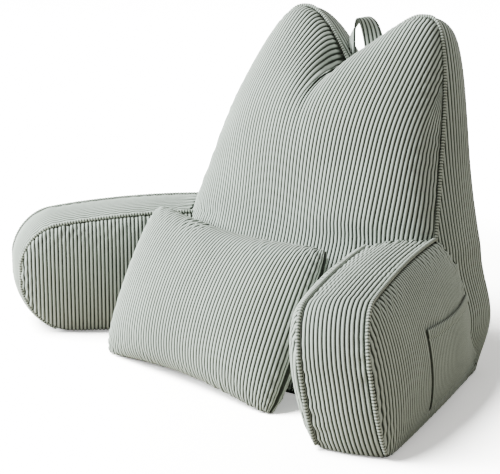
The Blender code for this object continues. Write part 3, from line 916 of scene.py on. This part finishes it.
def make_pocket(outer):
    """A patch pocket sewn on an arm's outer panel, its mouth a turned hem that stands off a little."""
    length = ARM_SHAPE["arm_right"][2]
    places = rib_places(ARM_ROOT, length - ARM_NOSE_TRIM)
    up = np.gradient(outer, axis=0)
    along = np.gradient(outer, axis=1)
    off = np.cross(up, along)
    off /= np.maximum(np.linalg.norm(off, axis=2), 1e-12)[..., None]
    # Over its middle the panel faces +X.
    off *= np.sign(off[10:20, 20:60, 0].mean())
    kept = np.where((places > POCKET_ROOT) & (places < POCKET_FRONT))[0]
    across = (places[kept] - POCKET_ROOT) / (POCKET_FRONT - POCKET_ROOT)
    mouth = pocket_mouth(places[kept])
    body = 1 - POCKET_MOUTH_SHARE
    lower_rows = np.linspace(0, 1, POCKET_ROWS)[:-1] * body
    rows = np.concatenate([lower_rows, np.linspace(body, 1, POCKET_MOUTH_ROWS)])
    z = POCKET_FOOT + (mouth - POCKET_FOOT)[None, :] * rows[:, None]
    place = np.zeros((*z.shape, 3))
    normal = np.zeros((*z.shape, 3))
    for i, column in enumerate(kept):
        for axis in range(3):
            place[:, i, axis] = np.interp(z[:, i], outer[:, column, 2], outer[:, column, axis])
            normal[:, i, axis] = np.interp(z[:, i], outer[:, column, 2], off[:, column, axis])
    down = mouth[None, :] - z
    sewn = np.minimum(places[kept] - POCKET_ROOT, POCKET_FRONT - places[kept])[None, :]
    hem = POCKET_HEM_RISE * smooth((POCKET_HEM - down) / POCKET_HEM_RUN) * smooth(sewn / POCKET_SEWN)
    gape = POCKET_GAPE * np.sin(pi * across)[None, :] ** 0.7 * np.exp(-down / POCKET_GAPE_DEPTH)
    stitch = POCKET_STITCH_DEPTH * np.exp(-(((down - POCKET_HEM) / POCKET_STITCH_WIDTH) ** 2))
    sewn = smooth(np.minimum(sewn, z - POCKET_FOOT) / POCKET_SEWN)
    inner = place + normal * (POCKET_OFF * sewn + gape)[..., None]
    cover_points = place + normal * (POCKET_OFF * sewn + gape + POCKET_CLOTH + hem - stitch)[..., None]
    ribs = np.broadcast_to(rib_shape(places[kept]), z.shape).copy()
    ribs[[0, -1]] = 0.5
    ribs[:, [0, -1]] = 0.5
    cover = Cover()
    # Its inner face has no ribs and so takes the groove's near-black colour: painted shade inside the pocket.
    inner_index = cover.add(inner, ribs * 0)
    outer_index = cover.add(cover_points, ribs, -RIB_HEIGHT * ribs * (1 - sewn))
    cover.grid(inner_index)
    cover.grid(outer_index, flip=True)
    rims = np.stack([rim_of(inner_index), rim_of(outer_index)], 1)
    cover.squares.append(squares_of(np.concatenate([rims, rims[:1]])))
    return cover.make("side_pocket_patch", CORDUROY)


pocket = make_pocket(arm_panels["arm_right"][1])
cut_back(pocket)
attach(pocket, "root")
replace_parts(pocket, "side_pocket")


def make_handle():
    """A strap of corduroy, ribs lengthwise, which turns over at the top and whose feet lie side by side."""
    turn = np.linspace(0, pi, HANDLE_STEPS + 1)
    centre = np.stack(
        [
            HANDLE_X - HANDLE_SPAN / 2 * np.cos(turn),
            np.full_like(turn, HANDLE_Y),
            HANDLE_FOOT_Z + HANDLE_HEIGHT * np.sin(turn) ** HANDLE_SQUARENESS,
        ],
        -1,
    )
    across = np.stack([np.cos(turn), -np.sin(turn), 0 * turn], -1)
    face = np.cross(np.gradient(centre, axis=0), across)
    face /= np.linalg.norm(face, axis=1)[:, None]
    widths = rib_places(-HANDLE_WIDTH / 2, HANDLE_WIDTH / 2)
    middle = centre[None] + across[None] * widths[:, None, None]
    ribs = np.broadcast_to(rib_shape(widths)[:, None], middle.shape[:2]).copy()
    ribs[[0, -1]] = 0.3
    half = HANDLE_THICKNESS / 2 - HANDLE_RIB_ROOM
    cover = Cover()
    inner_index = cover.add(middle - face * half, ribs)
    outer_index = cover.add(middle + face * half, ribs)
    cover.grid(inner_index)
    cover.grid(outer_index, flip=True)
    rims = np.stack([rim_of(inner_index), rim_of(outer_index)], 1)
    cover.squares.append(squares_of(np.concatenate([rims, rims[:1]])))
    return cover.make("carry_handle_strap", CORDUROY, height=HANDLE_RIB_HEIGHT)


handle = make_handle()
cut_back(handle)
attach(handle, "root")
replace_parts(handle, "carry_handle")


def make_cushion():
    """Two panels with upright ribs, seamed all round, filled until their long edges draw in."""
    half = CUSHION_WIDTH / 2
    steps = eased(CUSHION_STEPS)

    def level_top(x):
        return np.full_like(x, CUSHION_HEIGHT)

    def crowned(columns):
        """The cut panel's grid, its places as shares of half its sides, and how far it rises."""
        pins = (np.s_[0], np.s_[-1], np.s_[:, 0], np.s_[:, -1])
        flat, rise = panel_rise((-half, half), np.zeros_like, level_top, pins, columns, steps)
        a = flat[..., 0] / half
        b = flat[..., 1] / CUSHION_HEIGHT * 2 - 1
        plump = (np.clip(1 - np.abs(a) ** 6, 0, 1) * np.clip(1 - b**4, 0, 1)) ** CUSHION_EDGE_ROUND
        rise = CUSHION_CROWN * ((1 - CUSHION_PLUMP) * rise**CUSHION_ROUND + CUSHION_PLUMP * plump)
        return flat, a, b, rise

    # Ribs are evenly apart along the crowned cloth at half height.
    cut = np.linspace(-half, half, CUSHION_SAMPLES)
    profile = crowned(cut)[3][len(steps) // 2]
    gone = np.concatenate([[0], np.cumsum(np.hypot(np.diff(cut), np.diff(profile)))])
    gone -= gone[-1] / 2
    places = rib_places(gone[0], gone[-1])
    flat, a, b, rise = crowned(np.interp(places, gone, cut))
    corner = CUSHION_CORNER * (a * b) ** 8
    x = half * a - CUSHION_DRAW_IN * a * (1 - b**2) - corner * np.sign(a)
    height = CUSHION_HEIGHT / 2 * (1 + b) - CUSHION_WAIST * b * (1 - a**2) - corner * np.sign(b)
    ribs = np.broadcast_to(rib_shape(places), flat.shape[:2]).copy()
    ribs[[0, -1]] = 0
    ribs[:, [0, -1]] = 0
    edge = np.minimum(half - np.abs(flat[..., 0]), np.minimum(flat[..., 1], CUSHION_HEIGHT - flat[..., 1]))
    cover = Cover()
    grids = []
    foot_x, foot_y, foot_z = CUSHION_FOOT
    for thick in (rise, -CUSHION_REAR_SHARE * rise):
        y = height * sin(CUSHION_LEAN) - thick * cos(CUSHION_LEAN)
        z = height * cos(CUSHION_LEAN) + thick * sin(CUSHION_LEAN)
        panel = np.stack(
            [
                foot_x + x * cos(CUSHION_YAW) - y * sin(CUSHION_YAW),
                foot_y + x * sin(CUSHION_YAW) + y * cos(CUSHION_YAW),
                np.maximum(foot_z + z, 0),
            ],
            -1,
        )
        pressed = np.clip(CUSHION_REST - away_from(BACK_TREE, panel), 0, None) * (thick < 0)
        lift = seam_pulls(panel, edge, flat[..., 0] + flat[..., 1], 51)
        grids.append(cover.add(panel, ribs, lift * (pressed == 0) - pressed))
    cover.grid(grids[0])
    cover.grid(grids[1], flip=True)
    return cover.make("lumbar_cushion_cover", CORDUROY)


cushion = make_cushion()
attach(cushion, "root")
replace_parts(cushion, "lumbar_cushion")


def even_path(path, spacing):
    """A path taken again in even steps, and how far along it each step lies."""
    gone = np.concatenate([[0], np.cumsum(np.linalg.norm(np.diff(path, axis=0), axis=1))])
    count = int(gone[-1] / spacing)
    marks = np.linspace(0, gone[-1], count + 1)
    kept = np.concatenate([[True], np.diff(gone) > 1e-7])
    return glide(gone[kept], path[kept], marks), marks


def make_piping(name, path):
    """A cord in a corduroy cover, whose ribs run round it like beads."""
    line, marks = even_path(path, PIPING_PITCH / PIPING_STEPS_A_RIB)
    for _ in range(PIPING_SMOOTHING):
        line[1:-1] = (line[:-2] + 2 * line[1:-1] + line[2:]) / 4
    along = np.gradient(line, axis=0)
    along /= np.linalg.norm(along, axis=1)[:, None]
    side = np.cross(along, PIPING_ASIDE)
    side /= np.linalg.norm(side, axis=1)[:, None]
    other = np.cross(along, side)
    rib = rib_shape(marks * RIB_PITCH / PIPING_PITCH)
    radius = CORD_RADIUS - PIPING_BEAD * (1 - rib)
    radius[0] = radius[-1] = PIPING_END_RADIUS
    turn = np.linspace(0, 2 * pi, PIPING_SIDES, endpoint=False)
    ring = side[:, None] * np.cos(turn)[None, :, None] + other[:, None] * np.sin(turn)[None, :, None]
    points = line[:, None] + ring * radius[:, None, None]
    cover = Cover()
    # The rib value only colours the cord's cover: painted shade between the beads and a painted highlight on
    # them.
    index = cover.add(points, rib[:, None])
    cover.squares.append(squares_of(np.concatenate([index, index[:, :1]], axis=1)))
    cover.odd.append(index[0].tolist())
    cover.odd.append(index[-1].tolist())
    item = cover.make(name, CORD_COVER, height=0)
    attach(item, "root")
    return item


def corner_ways(near, far):
    """Straight out from the corner along a panel's border."""
    band = outward(near, far)
    across = (near - far) / np.maximum(np.linalg.norm(near - far, axis=1), 1e-9)[:, None]
    out = band + across
    return out / np.linalg.norm(out, axis=1)[:, None]


path = back_near + corner_ways(back_near, back_far) * (CORD_RADIUS + SEAM_CLEARANCE)
path = path[path[:, 2] > BACK_PIPING_FOOT]
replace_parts(make_piping("back_piping_cord", path), "back_piping")

for arm_name, (inner, outer) in arm_panels.items():
    for kind, panel, other in (("inner", inner, outer), ("outer", outer, inner)):
        rows, columns = panel.shape[:2]
        path = rim_of(panel) + corner_ways(rim_of(panel), rim_of(other)) * (CORD_RADIUS + SEAM_CLEARANCE)
        path = path[rows : 2 * rows + columns * 2 - 4]
        path = path[path[:, 2] > ARM_PIPING_FOOT]
        cord = make_piping(f"{arm_name}_{kind}_piping_cord", path)
        cut_back(cord)
        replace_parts(cord, f"{arm_name}_{kind}_piping")

bpy.data.objects.remove(clearance)

# How bright the backdrop looks, and how bright it is as a light.
SKY_SEEN = 14.0
SKY_FILL = 0.36
# The floor seen by the camera brightens outward until it can't be told from the backdrop.
FLOOR_GLOW_NEAR = 0.4
FLOOR_GLOW_FAR = 14.0
FLOOR_GLOW_FROM = 0.45
FLOOR_GLOW_TO = 1.7
FLOOR_REACH = 8
FLOOR_DROP = 0.5 * MM
CAMERA_AZIMUTH = radians(42)
CAMERA_ELEVATION = radians(13.85)
CAMERA_DISTANCE = 2.679
CAMERA_TARGET = Vector((-0.1356, 0.0, 0.1611))

camera_data = bpy.data.cameras.new("camera")
camera_data.lens = 122.04
camera_data.sensor_width = 36
camera = bpy.data.objects.new("camera", camera_data)
bpy.context.scene.collection.objects.link(camera)
away = Vector(
    (
        sin(CAMERA_AZIMUTH) * cos(CAMERA_ELEVATION),
        -cos(CAMERA_AZIMUTH) * cos(CAMERA_ELEVATION),
        sin(CAMERA_ELEVATION),
    )
)
camera.location = CAMERA_TARGET + away * CAMERA_DISTANCE
camera.rotation_euler = (-away).to_track_quat("-Z", "Y").to_euler()
bpy.context.scene.camera = camera

floor_mesh = bpy.data.meshes.new("floor")
around = ((-1, -1), (1, -1), (1, 1), (-1, 1))
corners = [(x * FLOOR_REACH, y * FLOOR_REACH, -FLOOR_DROP) for x, y in around]
floor_mesh.from_pydata(corners, [], [(0, 1, 2, 3)])
floor = bpy.data.objects.new("floor", floor_mesh)
bpy.context.scene.collection.objects.link(floor)
paper = bpy.data.materials.new("White_studio_paper")
paper.use_nodes = True
paper_tree = paper.node_tree
paper_surface = paper_tree.nodes["Principled BSDF"]
ray = add_node(paper_tree, "ShaderNodeLightPath")
camera_ray = ray.outputs["Is Camera Ray"]
# White to the eye; what it throws back on the pillow is the softer, warmer part of its light.
shade = add_node(
    paper_tree,
    "ShaderNodeMix",
    {"data_type": "RGBA"},
    i0=camera_ray,
    i6=tone("423e35"),
    i7=tone("fbfaf7"),
)
place = add_node(paper_tree, "ShaderNodeTexCoord")
far = add_node(paper_tree, "ShaderNodeVectorMath", {"operation": "LENGTH"}, i0=place.outputs["Object"])
glow = add_node(
    paper_tree,
    "ShaderNodeMapRange",
    {"interpolation_type": "SMOOTHERSTEP"},
    i0=far.outputs["Value"],
    i1=FLOOR_GLOW_FROM,
    i2=FLOOR_GLOW_TO,
    i3=FLOOR_GLOW_NEAR,
    i4=FLOOR_GLOW_FAR,
)
seen = add_node(paper_tree, "ShaderNodeMath", {"operation": "MULTIPLY"}, i0=glow.outputs[0], i1=camera_ray)
paper_surface.inputs["Emission Color"].default_value = (1.0, 1.0, 1.0, 1.0)
paper_surface.inputs["Roughness"].default_value = 0.9
paper_tree.links.new(seen.outputs[0], paper_surface.inputs["Emission Strength"])
paper_tree.links.new(shade.outputs[2], paper_surface.inputs["Base Color"])
floor_mesh.materials.append(paper)


def add_light(name, place, target, size, power, colour):
    """A round soft light: where it stands, where it points, its width in metres and its power in watts."""
    data = bpy.data.lights.new(name, "AREA")
    data.shape = "DISK"
    data.size = size
    data.energy = power
    data.color = colour
    item = bpy.data.objects.new(name, data)
    bpy.context.scene.collection.objects.link(item)
    item.location = place
    item.rotation_euler = (Vector(place) - Vector(target)).to_track_quat("Z", "Y").to_euler()
    return item


add_light("window_left", (-2.15, -2.25, 1.6), (0, 0, 0.2), 1.3, 470, (0.95, 1.0, 1.0))
add_light("overhead", (0.0, -0.2, 2.6), (0, 0, 0.2), 2.4, 20, (1.0, 1.0, 1.0))
add_light("warm_room", (2.4, -0.4, 0.7), (0, 0, 0.15), 1.6, 3, (1.0, 0.96, 0.84))
add_light("behind", (0.4, 3.0, 1.3), (0, 0, 0.2), 2.0, 25, (1.0, 1.0, 0.97))
# A copy of the window's light that only the floor receives keeps it white outside the pillow's shadow.
floor_light = add_light("window_on_floor", (-1.3, -1.5, 3.0), (0, 0, 0), 2.2, 2150, (1.0, 1.0, 1.0))
only_floor = bpy.data.collections.new("only_floor")
only_floor.objects.link(floor)
floor_light.light_linking.receiver_collection = only_floor

world = bpy.data.worlds.new("studio")
world.use_nodes = True
sky = world.node_tree
# The backdrop looks white, while it lights the pillow as softly as a large room does.
ray = add_node(sky, "ShaderNodeLightPath")
sky_level = add_node(
    sky, "ShaderNodeMix", {"data_type": "FLOAT"}, i0=ray.outputs["Is Camera Ray"], i2=SKY_FILL, i3=SKY_SEEN
)
sky.nodes["Background"].inputs["Color"].default_value = (1.0, 0.98, 0.90, 1.0)
sky.links.new(sky_level.outputs[0], sky.nodes["Background"].inputs["Strength"])
bpy.context.scene.world = world

bpy.context.view_layer.update()
